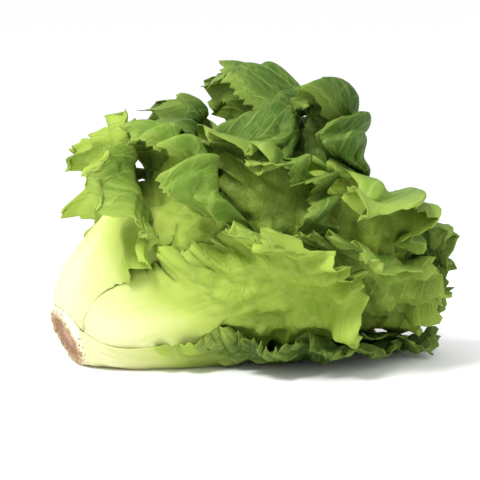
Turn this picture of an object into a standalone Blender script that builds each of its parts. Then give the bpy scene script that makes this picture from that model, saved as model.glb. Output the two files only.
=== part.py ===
"""A head of leaf lettuce lying on its side: the cut stem, the leaves that grow round it, and the heart.

A leaf is a sheet over two numbers, its azimuth round the head and its reach from the cut. What the rules
below work out is its lean, the angle between that sheet and the head's axis. Leaves are laid from the
outermost inwards, and each is kept inside the ones already laid, so none of them crosses another.
"""

import math

import bmesh
import bpy
import numpy as np
from mathutils.bvhtree import BVHTree

# The head as a whole, in metres and degrees
HEAD_TILT = math.radians(25)  # the head's axis above the surface that it lies on
CUT_HEIGHT = 0.0255  # the middle of the cut above that surface
TURN = 137.5  # from one leaf to the next one in, as lettuce grows
FIRST_AZIMUTH = -140.0  # 0 is up, -90 the near side, 180 down
INNERMOST_RANK = 0.20  # rank runs from 1, the outermost leaf, to 0, the axis
RINGS = (("outer_leaf", 9), ("middle_leaf", 7), ("inner_leaf", 6))

# How far a leaf leans off the axis at each reach, for the outermost leaf and for one at the axis
REACHES = np.array([0.024, 0.030, 0.042, 0.068, 0.093, 0.113, 0.160, 0.220, 0.280])
OUTER_LEAN = np.radians([80, 77, 69, 54, 46, 42, 38, 34, 32])
INNER_LEAN = np.radians([40, 28, 14, 9, 7, 7, 8, 9, 10])
OUTER_START = 0.024  # where the outermost leaf leaves the stem, and the innermost
INNER_START = 0.052

# Each leaf from the outermost in: its length, and how far its tip leans out past the rule
LENGTHS = (
    0.222, 0.142, 0.190, 0.196, 0.122, 0.252, 0.150, 0.176, 0.245,
    0.160, 0.225, 0.190, 0.180, 0.245, 0.229, 0.210, 0.236,
    0.190, 0.230, 0.232, 0.200, 0.240,
)  # fmt: skip
TIP_FLARES = {1: 12.0, 4: 19.0, 6: 9.0, 9: 4.0, 14: 0.0, 19: 2.0}  # degrees
WIDTHS = {0: 0.80, 3: 0.75, 4: 0.55, 14: 0.85, 16: 0.90}  # shares of the usual width of a blade
NUDGES = {0: -14.0, 3: -19.0, 8: -6.0, 13: 8.0, 16: 6.0, 18: -8.0}  # degrees, where a leaf slipped

# A leaf
BLADE_HALF_WIDTH = 0.056
STALK_HALF_WIDTH = 0.036
INNERMOST_STALK = 0.15  # the width of a stalk at the axis, as a share of the outermost
STALK_GAIN = 1.4  # how much faster than its rank a stalk widens outwards
STALK_NARROWING = 0.50
TIP_NARROWING = 0.25
BLADE_THICK = 0.0011
RIB_THICK = 0.0044
INNERMOST_RIB = 0.35  # the same for the thickness of a rib
TIP_ROUNDING = 0.16  # how far the tip's corners fall back, as a share of the length
CURL = 0.22  # how far the blade's edges lean out past its middle
HUG = 0.02  # how far the stalk's edges lean in
WIDE_WAVE = 0.011
FINE_WAVE = 0.0055
TIP_WAVE = 0.010
WIDE_WAVES = 2.3  # along each edge
FINE_WAVES = 5.1
TIP_WAVES = 2.2  # across the tip
TOOTH = 0.0042
TIP_TOOTH = 0.0030
CLEARANCE = 0.0017
LEAST_LEAN = math.radians(1.0)  # no leaf is pushed past the axis
NARROWEST_RING = math.radians(9)  # leaves nearer the axis than this wrap round it no further
ROWS = 14  # faces along the leaf, and the places of the points across it
COLUMNS = (-1, -0.78, -0.5, -0.2, 0, 0.2, 0.5, 0.78, 1)

# The room left inside the leaves already laid, and how a leaf is pressed into it
AZIMUTH_STEPS = 144
REACH_STEP = 0.003
FARTHEST = 0.300
PRESS_ROUNDS = 8
CLEARING_STEP = 0.0005
CLEARING_ROUNDS = 60
FLATTENED = 0.0043  # leaves are pressed flat below this height, where the cut's rim rests too

# The heart: small leaves fused to a slim bud
HEART_LEAVES = 5
HEART_START = 0.066  # clear of the innermost stalks
HEART_LENGTH = 0.092
HEART_HALF_WIDTH = 0.014
HEART_ROWS = 9
HEART_COLUMNS = (-1, -0.6, 0, 0.6, 1)
HEART_RANKS = (0.14, 0.03)
BUD_START = 0.070
BUD_END = 0.095
BUD_RADIUS = 0.0032

# The stem
CUT_RADIUS = 0.0215
CUT_DROP = 0.006  # the cut is this far below where the leaves start
CUT_CHAMFER = 0.0022
STEM_GAP = 0.0008
STEM_SIDES = 24
STEM_LEANS = np.radians([0, 8, 16, 25, 35, 45, 55, 65, 72, 78])
STEM_WINDOW = math.radians(9)

COLOURS = {
    "leaf_outer": (0.42, 0.55, 0.16, 1.0),
    "leaf_inner": (0.36, 0.50, 0.12, 1.0),
    "leaf_heart": (0.62, 0.70, 0.28, 1.0),
    "stem_cut": (0.72, 0.62, 0.45, 1.0),
}
RING_MATERIALS = {"outer_leaf": "leaf_outer", "middle_leaf": "leaf_outer", "inner_leaf": "leaf_inner"}
LEAF_ROUGHNESS = 0.45


def smoothstep(low, high, x):
    t = np.clip((x - low) / (high - low), 0.0, 1.0)
    return t * t * (3 - 2 * t)


def head_point(azimuth, lean, reach):
    """Points of the head over the surface it lies on, with the cut's middle above x = y = 0."""
    axial = reach * np.cos(lean)
    up = reach * np.sin(lean) * np.cos(azimuth)
    side = reach * np.sin(lean) * np.sin(azimuth)
    x = axial * math.cos(HEAD_TILT) - up * math.sin(HEAD_TILT)
    z = CUT_HEIGHT + axial * math.sin(HEAD_TILT) + up * math.cos(HEAD_TILT)
    return np.stack([x, side, z], axis=-1)


def surface_lean(azimuth, reach):
    """The lean at which a point at this azimuth and reach meets the surface under the head."""
    along = math.sin(HEAD_TILT)
    across = np.cos(azimuth) * math.cos(HEAD_TILT)
    drop = np.clip(-CUT_HEIGHT / (reach * np.hypot(along, across)), -1.0, 1.0)
    return np.arctan2(across, along) + np.arccos(drop)


def rank_lean(reach, rank):
    inner = np.interp(reach, REACHES, INNER_LEAN)
    outer = np.interp(reach, REACHES, OUTER_LEAN)
    return inner + (outer - inner) * rank


class Leaf:
    """One leaf's own numbers, and the formulas that shape it from u, along it, and v, across it."""

    def __init__(self, number, rank, length, half_width, flare=0.0, rows=ROWS, columns=COLUMNS):
        draw = np.random.default_rng(100 + number)
        self.rank = rank
        self.azimuth = math.radians(FIRST_AZIMUTH + TURN * number + NUDGES.get(number, 0.0))
        self.start = INNER_START + (OUTER_START - INNER_START) * rank
        self.length = length
        self.half_width = half_width
        self.flare = math.radians(flare)
        self.phases = draw.uniform(0, 2 * math.pi, (3, 2))
        self.pace = draw.uniform(0.85, 1.2, 2)
        self.rows = rows
        self.columns = np.array(columns)
        self.sway = draw.uniform(-0.10, 0.10)
        self.teeth = draw.uniform(0.3, 1.0, (rows + 1, 2))

    def half_width_at(self, u):
        share = INNERMOST_STALK + (1 - INNERMOST_STALK) * self.rank**STALK_GAIN
        stalk = STALK_HALF_WIDTH * share * (1 - STALK_NARROWING * smoothstep(0.12, 0.6, u))
        later = 1 - self.rank  # the inner leaves widen later
        widening = smoothstep(0.06 + 0.20 * later, 0.72 + 0.12 * later, u)
        blade = self.half_width * widening * (1 - TIP_NARROWING * smoothstep(0.8, 1.0, u))
        return stalk + blade

    def thickness(self, u, v):
        """A fleshy rib that thins towards the tip, on a thin blade."""
        thickest = RIB_THICK * (INNERMOST_RIB + (1 - INNERMOST_RIB) * self.rank)
        rib = thickest * (1 - smoothstep(0.1, 0.9, u)) ** 0.8
        rib_share = 0.75 - 0.6 * smoothstep(0.05, 0.6, u)
        return BLADE_THICK + rib * np.exp(-2 * (v / rib_share) ** 2)

    def ruffle(self, u, v):
        """Waves that grow towards the edges, each edge with its own."""
        edge = np.abs(v)
        side = (v > 0).astype(int)
        turns = 2 * math.pi * u
        wide_turn = WIDE_WAVES * self.pace[0] * turns + self.phases[0][side]
        fine_turn = FINE_WAVES * self.pace[1] * turns + self.phases[1][side]
        wide = WIDE_WAVE * edge**1.6 * np.sin(wide_turn)
        fine = FINE_WAVE * edge**3 * np.sin(fine_turn)
        tip = TIP_WAVE * u**4 * np.sin(TIP_WAVES * math.pi * v + self.phases[2][0])
        return smoothstep(0.22, 0.55, u) * (wide + fine) + tip

    def teeth_at(self, u, v):
        """How far each point of the edge stands out across the leaf, in turn out and in."""
        turn_out = np.where(np.arange(len(u)) % 2 == 0, 1.0, -1.0) * smoothstep(0.25, 0.5, u[:, 0])
        teeth = np.zeros_like(u)
        teeth[:, 0] = -TOOTH * turn_out * self.teeth[:, 0]
        teeth[:, -1] = TOOTH * turn_out * self.teeth[:, 1]
        return teeth

    def grid(self):
        """Azimuth, reach, lean and thickness at each point, before the leaf is pressed into its room."""
        u, v = np.meshgrid(np.linspace(0, 1, self.rows + 1), self.columns, indexing="ij")
        reach = self.start + self.length * (u - TIP_ROUNDING * u**2 * v**2)
        middle = rank_lean(reach, self.rank) + self.flare * smoothstep(0.3, 1.0, u) ** 1.5
        across = v * self.half_width_at(u) + self.teeth_at(u, v)
        ring = reach * np.sin(np.maximum(middle, NARROWEST_RING))
        azimuth = self.azimuth + self.sway * u**2 + across / ring
        curl = (CURL * smoothstep(0.35, 1.0, u) - HUG) * v**2
        lean = middle + curl + self.ruffle(u, v) / reach
        tip_teeth = np.where(np.arange(len(self.columns)) % 2 == 0, 1.0, -1.0) * TIP_TOOTH
        reach[-1] += tip_teeth * min(1.0, self.length / LENGTHS[0])
        return azimuth, reach, lean, self.thickness(u, v)


class Room:
    """The greatest lean still free at each azimuth and reach."""

    def __init__(self):
        azimuths = np.linspace(-math.pi, math.pi, AZIMUTH_STEPS, endpoint=False)
        self.reaches = np.arange(0.5 * OUTER_START, FARTHEST, REACH_STEP)
        self.lean = surface_lean(*np.meshgrid(azimuths, self.reaches, indexing="ij"))

    def place_of(self, azimuth, reach):
        column = (azimuth + math.pi) / (2 * math.pi / AZIMUTH_STEPS)
        row = (reach - self.reaches[0]) / REACH_STEP
        return column, np.clip(row, 0, len(self.reaches) - 1.001)

    def cell_of(self, azimuth, reach):
        column, row = self.place_of(azimuth, reach)
        return np.round(column).astype(int) % AZIMUTH_STEPS, np.round(row).astype(int)

    @staticmethod
    def spread(values, combine):
        """Each cell combined with its neighbours round the head, then along it."""
        round_head = combine(np.roll(values, 1, 0), values, np.roll(values, -1, 0))
        padded = np.pad(round_head, ((0, 0), (1, 1)), mode="edge")
        return combine(padded[:, :-2], round_head, padded[:, 2:])

    def lowest_near(self, distance):
        lean = self.lean
        for _ in range(distance):
            lean = self.spread(lean, lambda a, b, c: np.minimum(np.minimum(a, b), c))
        return lean

    def smooth_lean(self, azimuth, reach):
        """The free lean read between cells, rounded off and never above what is free."""
        lean = self.lowest_near(3)
        for _ in range(3):
            lean = self.spread(lean, lambda a, b, c: (a + b + c) / 3)
        column, row = self.place_of(azimuth, reach)
        c, r = np.floor(column).astype(int), np.floor(row).astype(int)
        over, along = column - c, row - r
        first, second = c % AZIMUTH_STEPS, (c + 1) % AZIMUTH_STEPS
        near = lean[first, r] * (1 - over) + lean[second, r] * over
        far = lean[first, r + 1] * (1 - over) + lean[second, r + 1] * over
        return near * (1 - along) + far * along


def sheet_triangles(rows, columns):
    """The triangles of a grid of points, as the numbers of their corners."""
    number = np.arange(rows * columns).reshape(rows, columns)
    a, b = number[:-1, :-1].ravel(), number[:-1, 1:].ravel()
    c, d = number[1:, 1:].ravel(), number[1:, :-1].ravel()
    return np.concatenate([np.stack([a, b, c], 1), np.stack([a, c, d], 1)])


def rim_triangles(rows, columns):
    """The triangles that close a sheet's edge to a second sheet, numbered after the first."""
    number = np.arange(rows * columns).reshape(rows, columns)
    loop = np.concatenate([number[0, :-1], number[:-1, -1], number[-1, :0:-1], number[:0:-1, 0]])
    following = np.roll(loop, -1)
    second = rows * columns
    lower = np.stack([following, loop, loop + second], 1)
    upper = np.stack([following, loop + second, following + second], 1)
    return np.concatenate([lower, upper])


def triangle_spots(count=6):
    """Weights of points spread evenly over a triangle."""
    steps = [(i, j, count - i - j) for i in range(count + 1) for j in range(count + 1 - i)]
    return np.array(steps) / count


def leaf_shell(azimuth, reach, lean, thick, ground):
    """The leaf's two faces and its rim, as points and triangles, with nothing below the ground."""
    inner = head_point(azimuth, lean, reach)
    outer = head_point(azimuth, lean + thick / reach, reach)
    outer[..., 2] = np.maximum(outer[..., 2], ground)
    inner[..., 2] = np.maximum(inner[..., 2], ground + 0.8 * BLADE_THICK)
    points = np.concatenate([inner.reshape(-1, 3), outer.reshape(-1, 3)])
    sheet = sheet_triangles(*azimuth.shape)
    faces = [sheet, sheet[:, ::-1] + azimuth.size, rim_triangles(*azimuth.shape)]
    return points, np.concatenate(faces)


def press_into_room(grid, room):
    """Lowers the lean until the leaf, between its points too, is inside the leaves already laid."""
    azimuth, reach, natural, thick = grid
    free = room.smooth_lean(azimuth, reach) - (thick + CLEARANCE) / reach
    soft = CLEARANCE / reach
    lean = -soft * np.logaddexp(-natural / soft, -free / soft)
    corners, weights = sheet_triangles(*azimuth.shape), triangle_spots()
    spot_azimuth, spot_reach, spot_thick = (
        values.ravel()[corners] @ weights.T for values in (azimuth, reach, thick)
    )
    cells = room.cell_of(spot_azimuth, spot_reach)
    spot_free = room.lowest_near(1)[cells] - (spot_thick + CLEARANCE) / spot_reach
    for _ in range(PRESS_ROUNDS):
        too_far = np.maximum((lean.ravel()[corners] @ weights.T - spot_free).max(axis=1), 0)
        push = np.zeros(lean.size)
        for corner in range(3):
            np.maximum.at(push, corners[:, corner], too_far)
        lean = np.maximum(lean - push.reshape(lean.shape), LEAST_LEAN)
    return lean, cells


def lay(leaf, room, laid, ground):
    """The leaf's points and triangles, clear of the trees in laid. The room shrinks by it."""
    azimuth, reach, natural, thick = grid = leaf.grid()
    lean, cells = press_into_room(grid, room)
    for _ in range(CLEARING_ROUNDS):
        points, faces = leaf_shell(azimuth, reach, lean, thick, ground)
        tree = BVHTree.FromPolygons(points.tolist(), faces.tolist())
        touching = {face for other in laid for face, _ in tree.overlap(other)}
        if not touching:
            break
        moved = np.unique(faces[sorted(touching)] % lean.size)
        lean.ravel()[moved] -= CLEARING_STEP / reach.ravel()[moved]
        lean = np.maximum(lean, LEAST_LEAN)
    spot_lean = lean.ravel()[sheet_triangles(*azimuth.shape)] @ triangle_spots().T
    np.minimum.at(room.lean, cells, spot_lean)
    return points, faces, tree, (reach, lean, thick)


def solid(name, points, faces, collection, look):
    mesh = bpy.data.meshes.new(name)
    mesh.from_pydata(points.tolist(), [], faces.tolist())
    sheets = bmesh.new()
    sheets.from_mesh(mesh)
    bmesh.ops.recalc_face_normals(sheets, faces=sheets.faces)
    sheets.to_mesh(mesh)
    sheets.free()
    mesh.materials.append(look)
    made = bpy.data.objects.new(name, mesh)
    collection.objects.link(made)
    return made


def turned(name, profile, sides, collection, look):
    """A solid turned about the head's axis, from (height along the axis, radius) pairs, bottom to top."""
    mesh = bpy.data.meshes.new(name + "_profile")
    outline = [(radius, 0.0, height) for height, radius in reversed(profile)]
    mesh.from_pydata(outline, [(i, i + 1) for i in range(len(outline) - 1)], [])
    draft = bpy.data.objects.new(name + "_draft", mesh)
    screw = draft.modifiers.new("Turn", "SCREW")
    screw.steps = screw.render_steps = sides
    screw.use_merge_vertices = True
    screw.merge_threshold = 0.00001
    draft.rotation_euler = (0.0, math.pi / 2 - HEAD_TILT, 0.0)
    draft.location = (0.0, 0.0, CUT_HEIGHT)
    bpy.context.scene.collection.objects.link(draft)
    graph = bpy.context.evaluated_depsgraph_get()
    graph.update()
    made = bpy.data.objects.new(name, bpy.data.meshes.new_from_object(draft.evaluated_get(graph)))
    made.data.transform(draft.matrix_world)
    bpy.data.objects.remove(draft)
    surface = bmesh.new()
    surface.from_mesh(made.data)
    bmesh.ops.recalc_face_normals(surface, faces=surface.faces)
    surface.to_mesh(made.data)
    surface.free()
    made.data.materials.clear()
    made.data.materials.append(look)
    collection.objects.link(made)
    return made


def stem_profile(grids):
    """The stem fills what the leaves leave free round the axis, down to the cut."""
    reach = np.concatenate([np.tile(grid[0].ravel(), 2) for grid in grids])
    lean = np.concatenate([np.append(g[1].ravel(), (g[1] + g[2] / g[0]).ravel()) for g in grids])
    free = []
    for middle in STEM_LEANS:
        near = reach[np.abs(lean - middle) < STEM_WINDOW]
        free.append(min(near.min(initial=BUD_START), BUD_START) - STEM_GAP)
    heights, radii = np.cos(STEM_LEANS) * free, np.sin(STEM_LEANS) * free
    profile = [(-CUT_DROP, 0.0), (-CUT_DROP, CUT_RADIUS - CUT_CHAMFER)]
    profile += [(CUT_CHAMFER - CUT_DROP, CUT_RADIUS), (-0.001, CUT_RADIUS - 0.0005)]
    return profile + list(zip(heights[::-1], radii[::-1]))


def fuse_heart(draft_leaves, bud, collection):
    """One Boolean union joins the heart's leaves to its bud."""
    loose = bpy.data.collections.new("heart_leaves")
    bpy.context.scene.collection.children.link(loose)
    for draft in draft_leaves:
        collection.objects.unlink(draft)
        loose.objects.link(draft)
    union = bud.modifiers.new("Join leaves", "BOOLEAN")
    union.operation = "UNION"
    union.operand_type = "COLLECTION"
    union.collection = loose
    union.solver = "MANIFOLD"
    graph = bpy.context.evaluated_depsgraph_get()
    joined = bpy.data.meshes.new_from_object(bud.evaluated_get(graph))
    bud.modifiers.clear()
    bud.data = joined
    for draft in draft_leaves:
        bpy.data.objects.remove(draft)
    bpy.data.collections.remove(loose)
    keep_largest_body(bud.data)
    return bud


def keep_largest_body(mesh):
    """Drops loose scraps, and the walls of hollows that the union sealed, which fills them."""
    surface = bmesh.new()
    surface.from_mesh(mesh)
    left, bodies = set(surface.verts), []
    while left:
        body, reached = set(), [left.pop()]
        while reached:
            vertex = reached.pop()
            body.add(vertex)
            for edge in vertex.link_edges:
                other = edge.other_vert(vertex)
                if other in left:
                    left.remove(other)
                    reached.append(other)
        bodies.append(body)
    largest = max(bodies, key=len)
    scraps = [vertex for body in bodies if body is not largest for vertex in body]
    bmesh.ops.delete(surface, geom=scraps, context="VERTS")
    surface.to_mesh(mesh)
    surface.free()


def material(name):
    made = bpy.data.materials.new(name)
    made.use_nodes = True
    shader = made.node_tree.nodes["Principled BSDF"]
    shader.inputs["Base Color"].default_value = COLOURS[name]
    shader.inputs["Roughness"].default_value = LEAF_ROUGHNESS
    made.diffuse_color = COLOURS[name]
    return made


def stand_on_origin(collection):
    """Moves the head so that the origin is on the ground under the middle of its footprint."""
    points = [v.co for made in collection.objects for v in made.data.vertices]
    low = [min(p[axis] for p in points) for axis in range(3)]
    high = [max(p[axis] for p in points) for axis in range(3)]
    for made in collection.objects:
        for vertex in made.data.vertices:
            vertex.co.x -= (low[0] + high[0]) / 2
            vertex.co.y -= (low[1] + high[1]) / 2
            vertex.co.z -= low[2]


def build_head():
    head = bpy.data.collections.new("lettuce_head")
    bpy.context.scene.collection.children.link(head)
    looks = {name: material(name) for name in COLOURS}
    names = [(ring, i + 1) for ring, count in RINGS for i in range(count)]
    room, laid, grids = Room(), [], []
    for number, (ring, place) in enumerate(names):
        rank = 1 + (INNERMOST_RANK - 1) * number / (len(names) - 1)
        flare = TIP_FLARES.get(number, 0.0)
        half_width = BLADE_HALF_WIDTH * WIDTHS.get(number, 1.0)
        leaf = Leaf(number, rank, LENGTHS[number], half_width, flare)
        points, faces, tree, grid = lay(leaf, room, laid, FLATTENED)
        laid.append(tree)
        grids.append(grid)
        solid(f"{ring}_{place:02d}", points, faces, head, looks[RING_MATERIALS[ring]])
    drafts = []
    for place in range(HEART_LEAVES):
        rank = HEART_RANKS[0] + (HEART_RANKS[1] - HEART_RANKS[0]) * place / (HEART_LEAVES - 1)
        sizes = (HEART_LENGTH, HEART_HALF_WIDTH, 0.0, HEART_ROWS, HEART_COLUMNS)
        leaf = Leaf(len(names) + place, rank, *sizes)
        leaf.start = HEART_START
        points, faces, tree, grid = lay(leaf, room, laid, FLATTENED)
        grids.append(grid)
        drafts.append(solid(f"heart_draft_{place}", points, faces, head, looks["leaf_heart"]))
    middle = (BUD_START + BUD_END) / 2
    bud_profile = [(BUD_START, 0), (BUD_START, BUD_RADIUS), (middle, BUD_RADIUS), (BUD_END, 0)]
    bud = turned("heart", bud_profile, STEM_SIDES // 2, head, looks["leaf_heart"])
    fuse_heart(drafts, bud, head)
    turned("stem", stem_profile(grids), STEM_SIDES, head, looks["stem_cut"])
    stand_on_origin(head)


for thing in list(bpy.data.objects):
    bpy.data.objects.remove(thing)
build_head()
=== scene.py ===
import math

import bpy
import numpy as np
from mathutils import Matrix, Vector
from mathutils.bvhtree import BVHTree


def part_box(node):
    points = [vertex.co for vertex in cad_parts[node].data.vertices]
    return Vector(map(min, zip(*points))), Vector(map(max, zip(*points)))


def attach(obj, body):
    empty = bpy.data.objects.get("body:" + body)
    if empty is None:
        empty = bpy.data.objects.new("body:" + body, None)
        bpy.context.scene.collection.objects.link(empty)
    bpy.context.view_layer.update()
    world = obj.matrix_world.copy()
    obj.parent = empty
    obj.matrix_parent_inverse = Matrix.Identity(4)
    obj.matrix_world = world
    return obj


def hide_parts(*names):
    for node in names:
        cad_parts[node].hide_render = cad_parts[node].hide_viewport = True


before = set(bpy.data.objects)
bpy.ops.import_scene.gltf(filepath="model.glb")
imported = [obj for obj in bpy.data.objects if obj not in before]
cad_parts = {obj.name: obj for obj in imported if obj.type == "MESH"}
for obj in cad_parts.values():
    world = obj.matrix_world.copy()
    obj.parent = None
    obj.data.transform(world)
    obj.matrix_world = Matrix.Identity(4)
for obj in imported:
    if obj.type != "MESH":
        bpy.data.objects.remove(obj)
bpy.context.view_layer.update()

# The head as a whole, in metres, degrees and counts: its solid leaves follow the same rules
head = {
    "tilt": 25,
    "cutHeight": 0.0255,
    "turn": 137.5,
    "firstAzimuth": -140,
    "innermostRank": 0.20,
    "outerStart": 0.024,
    "innerStart": 0.052,
    "clearance": 0.0017,
    "leastLean": 1.0,
    "pressedFlat": 0.0043,
    "pressRounds": 8,
    "clearRounds": 60,
    "clearStep": 0.0005,
}
reaches = np.array([0.024, 0.030, 0.042, 0.068, 0.093, 0.113, 0.160, 0.220, 0.280])
outerLean = np.radians([80, 77, 69, 54, 46, 42, 38, 34, 32])
innerLean = np.radians([40, 28, 14, 9, 7, 7, 8, 9, 10])
rings = (("outer_leaf", 9), ("middle_leaf", 7), ("inner_leaf", 6))
leafLengths = (
    0.222, 0.142, 0.190, 0.196, 0.122, 0.252, 0.150, 0.176, 0.245,
    0.160, 0.225, 0.190, 0.180, 0.245, 0.229, 0.210, 0.236,
    0.190, 0.230, 0.232, 0.200, 0.240,
)
tipFlares = {1: 12.0, 4: 19.0, 6: 9.0, 9: 4.0, 14: 0.0, 19: 2.0}
widths = {0: 0.80, 3: 0.75, 4: 0.55, 14: 0.85, 16: 0.90}  # shares of the usual width of a blade
nudges = {0: -14.0, 3: -19.0, 8: -6.0, 13: 8.0, 16: 6.0, 18: -8.0}

# The form of one leaf
form = {
    "bladeHalfWidth": 0.056,
    "stalkHalfWidth": 0.036,
    "innermostStalk": 0.15,
    "stalkGain": 1.4,
    "stalkNarrowing": 0.50,
    "tipNarrowing": 0.25,
    "bladeThick": 0.0011,
    "ribThick": 0.0044,
    "innermostRib": 0.35,
    "tipRounding": 0.16,
    "curl": 0.22,
    "hug": 0.02,
    "wideWave": 0.011,
    "fineWave": 0.0055,
    "tipWave": 0.010,
    "tooth": 0.0042,
    "tipTooth": 0.0030,
}
coarseRows = 14
coarseColumns = np.array([-1, -0.78, -0.5, -0.2, 0, 0.2, 0.5, 0.78, 1])

# What the fine leaves add to that form, in metres unless it is a share, an angle or a count
detail = {
    "rows": 156,
    "columns": 66,
    "edgeCrowding": 1.35,  # above 1, the columns stand closer near the edges
    "marginThick": 0.0005,
    "gap": 0.0009,  # left between neighbouring leaves
    "softness": 0.0008,  # over which a leaf gives way to the one outside it
    "toothSpacing": (0.0035, 0.0072),
    "toothHeight": (0.50, 1.00),  # shares of a tooth's width, as are the two below
    "toothPeak": (0.55, 0.85),
    "toothValley": (-0.10, 0.10),
    "frillLength": 0.0145,
    "frillHeight": 0.0078,
    "frillRise": 2.4,  # the power by which frills grow towards the edge
    "frillDrift": 1.4,  # radians by which they fall out of step
    "frillDriftLength": (0.05, 0.12),
    "frillUneven": (0.7, 0.4),  # the mean share of a frill, and how far it varies
    "frillUnevenLength": (0.04, 0.10),
    "frillAlong": 0.8,  # how far frills also move along the leaf, as a share of their depth
    "frillSides": 2.1,  # radians between the frills of the two edges
    "smallFrill": 0.0030,
    "smallFrillPace": 2.7,  # small frills to a frill
    "roll": 115.0,  # curvature of the margins where they roll outwards, per metre
    "rollStart": 0.62,
    "rollUneven": (0.35, 0.9),  # the mean share of the roll, and how far it varies
    "rollUnevenLength": (0.06, 0.16),
    "rollLimits": (-0.25, 1.0),
    "rollGreatest": 2.4,  # radians
    "tipNarrowing": 0.55,  # only where the flap is longer than narrowedFlap
    "narrowedFlap": 0.01,
    "blister": 0.0011,
    "blisterLength": (0.007, 0.018),
    "blisterWaves": 30,
    "crumple": 0.0034,
    "crumpleLength": (0.018, 0.040),
    "crumpleWaves": 16,
    "ridge": 0.00035,
    "ridgeSpacing": 0.0055,
    "wing": 0.0085,  # small green lobes at the sides of the ribs
    "wingLength": (0.012, 0.026),
    "wingGap": (0.002, 0.016),
    "wingStagger": 0.015,
    "wingPlaces": (0.040, 0.115),  # from the leaf's base, as is wingEnd
    "wingEnd": (0.100, 0.125),
    "wingRaise": 1.2,
    "wingRank": 0.45,  # leaves further in than this have none
    "swell": 0.85,  # how far a rib fills the room up to the outermost leaves, near the cut
    "swellGreatest": 0.014,
    "swellEnd": (0.080, 0.145),  # from the cut
    "swellRanks": (0.45, 0.6),
    "bladeGrowth": 0.23,  # the share of the length over which the thin blade sets in
}

# Where single leaves differ from the usual one, by their number in the order of laying
usualBladeStart = 0.22
bladeStarts = {1: 0.42, 3: 0.28, 6: 0.36}  # where the thin blade begins, as a share of the length
stalkSpreads = {1: 0.10, 3: 0.30, 6: 0.30}  # how much wider these ribs are at the bulb
tipShifts = {0: -0.008, 14: -0.009}  # how far outwards a tip is moved, in metres
rollShares = {  # of the usual roll
    0: 0.1, 1: 0.0, 2: 0.0, 3: 0.12, 4: -0.1, 5: 0.0, 6: 0.4, 7: 0.4, 8: 0.12, 9: 0.4, 10: -0.1,
    12: 0.5, 13: 0.25,
}
frillShares = {  # of the usual frill
    0: 0.4, 1: 1.3, 4: 1.2, 5: 0.5, 6: 1.5, 8: 0.9, 9: 1.3, 11: 1.8, 13: 0.8, 14: 0.5, 16: 1.7,
    18: 1.3, 19: 1.5,
}
# Tips that fold over: length of the flap, radius of its bend, degrees it turns, slant of the fold
usualFold = (0.004, 0.024, 60, 0.0)
tipFolds = {
    0: (-0.008, 0.010, 0, 0.0),
    1: (-0.003, 0.008, 50, 0.0),
    2: (-0.004, 0.010, 0, 0.0),
    3: (0.000, 0.060, 20, 0.0),
    4: (-0.010, 0.010, 0, 0.0),
    5: (-0.004, 0.010, 0, 0.0),
    6: (0.022, 0.010, 160, 0.05),
    8: (-0.005, 0.010, 0, 0.0),
    9: (0.014, 0.010, 130, 0.0),
    10: (-0.005, 0.010, 0, 0.0),
    11: (0.020, 0.010, 150, 0.05),
    13: (-0.004, 0.010, 0, 0.0),
    14: (0.034, 0.009, 165, 0.20),
    16: (0.012, 0.014, 120, 0.05),
    19: (0.028, 0.012, 150, 0.10),
}

heart = {
    "leaves": 5,
    "start": 0.066,
    "length": 0.092,
    "halfWidth": 0.014,
    "ranks": (0.14, 0.03),
    "coarseRows": 9,
    "coarseColumns": (-1, -0.6, 0, 0.6, 1),
    "rows": 60,
    "columns": 20,
}

tilt = math.radians(head["tilt"])
leastLean = math.radians(head["leastLean"])


def smoothstep(low, high, x):
    t = np.clip((x - low) / (high - low), 0.0, 1.0)
    return t * t * (3 - 2 * t)


def alternating(count):
    return np.where(np.arange(count) % 2 == 0, 1.0, -1.0)


def headPoint(azimuth, lean, reach):
    # a point of the head over the surface that it lies on
    axial = reach * np.cos(lean)
    up = reach * np.sin(lean) * np.cos(azimuth)
    side = reach * np.sin(lean) * np.sin(azimuth)
    x = axial * math.cos(tilt) - up * math.sin(tilt)
    z = head["cutHeight"] + axial * math.sin(tilt) + up * math.cos(tilt)
    return np.stack([x, side, z], axis=-1)


def surfaceLean(azimuth, reach):
    # the lean at which a point at this azimuth and reach meets that surface
    along = math.sin(tilt)
    across = np.cos(azimuth) * math.cos(tilt)
    drop = np.clip(-head["cutHeight"] / (reach * np.hypot(along, across)), -1.0, 1.0)
    return np.arctan2(across, along) + np.arccos(drop)


def rankLean(reach, rank):
    inner = np.interp(reach, reaches, innerLean)
    outer = np.interp(reach, reaches, outerLean)
    return inner + (outer - inner) * rank


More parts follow.
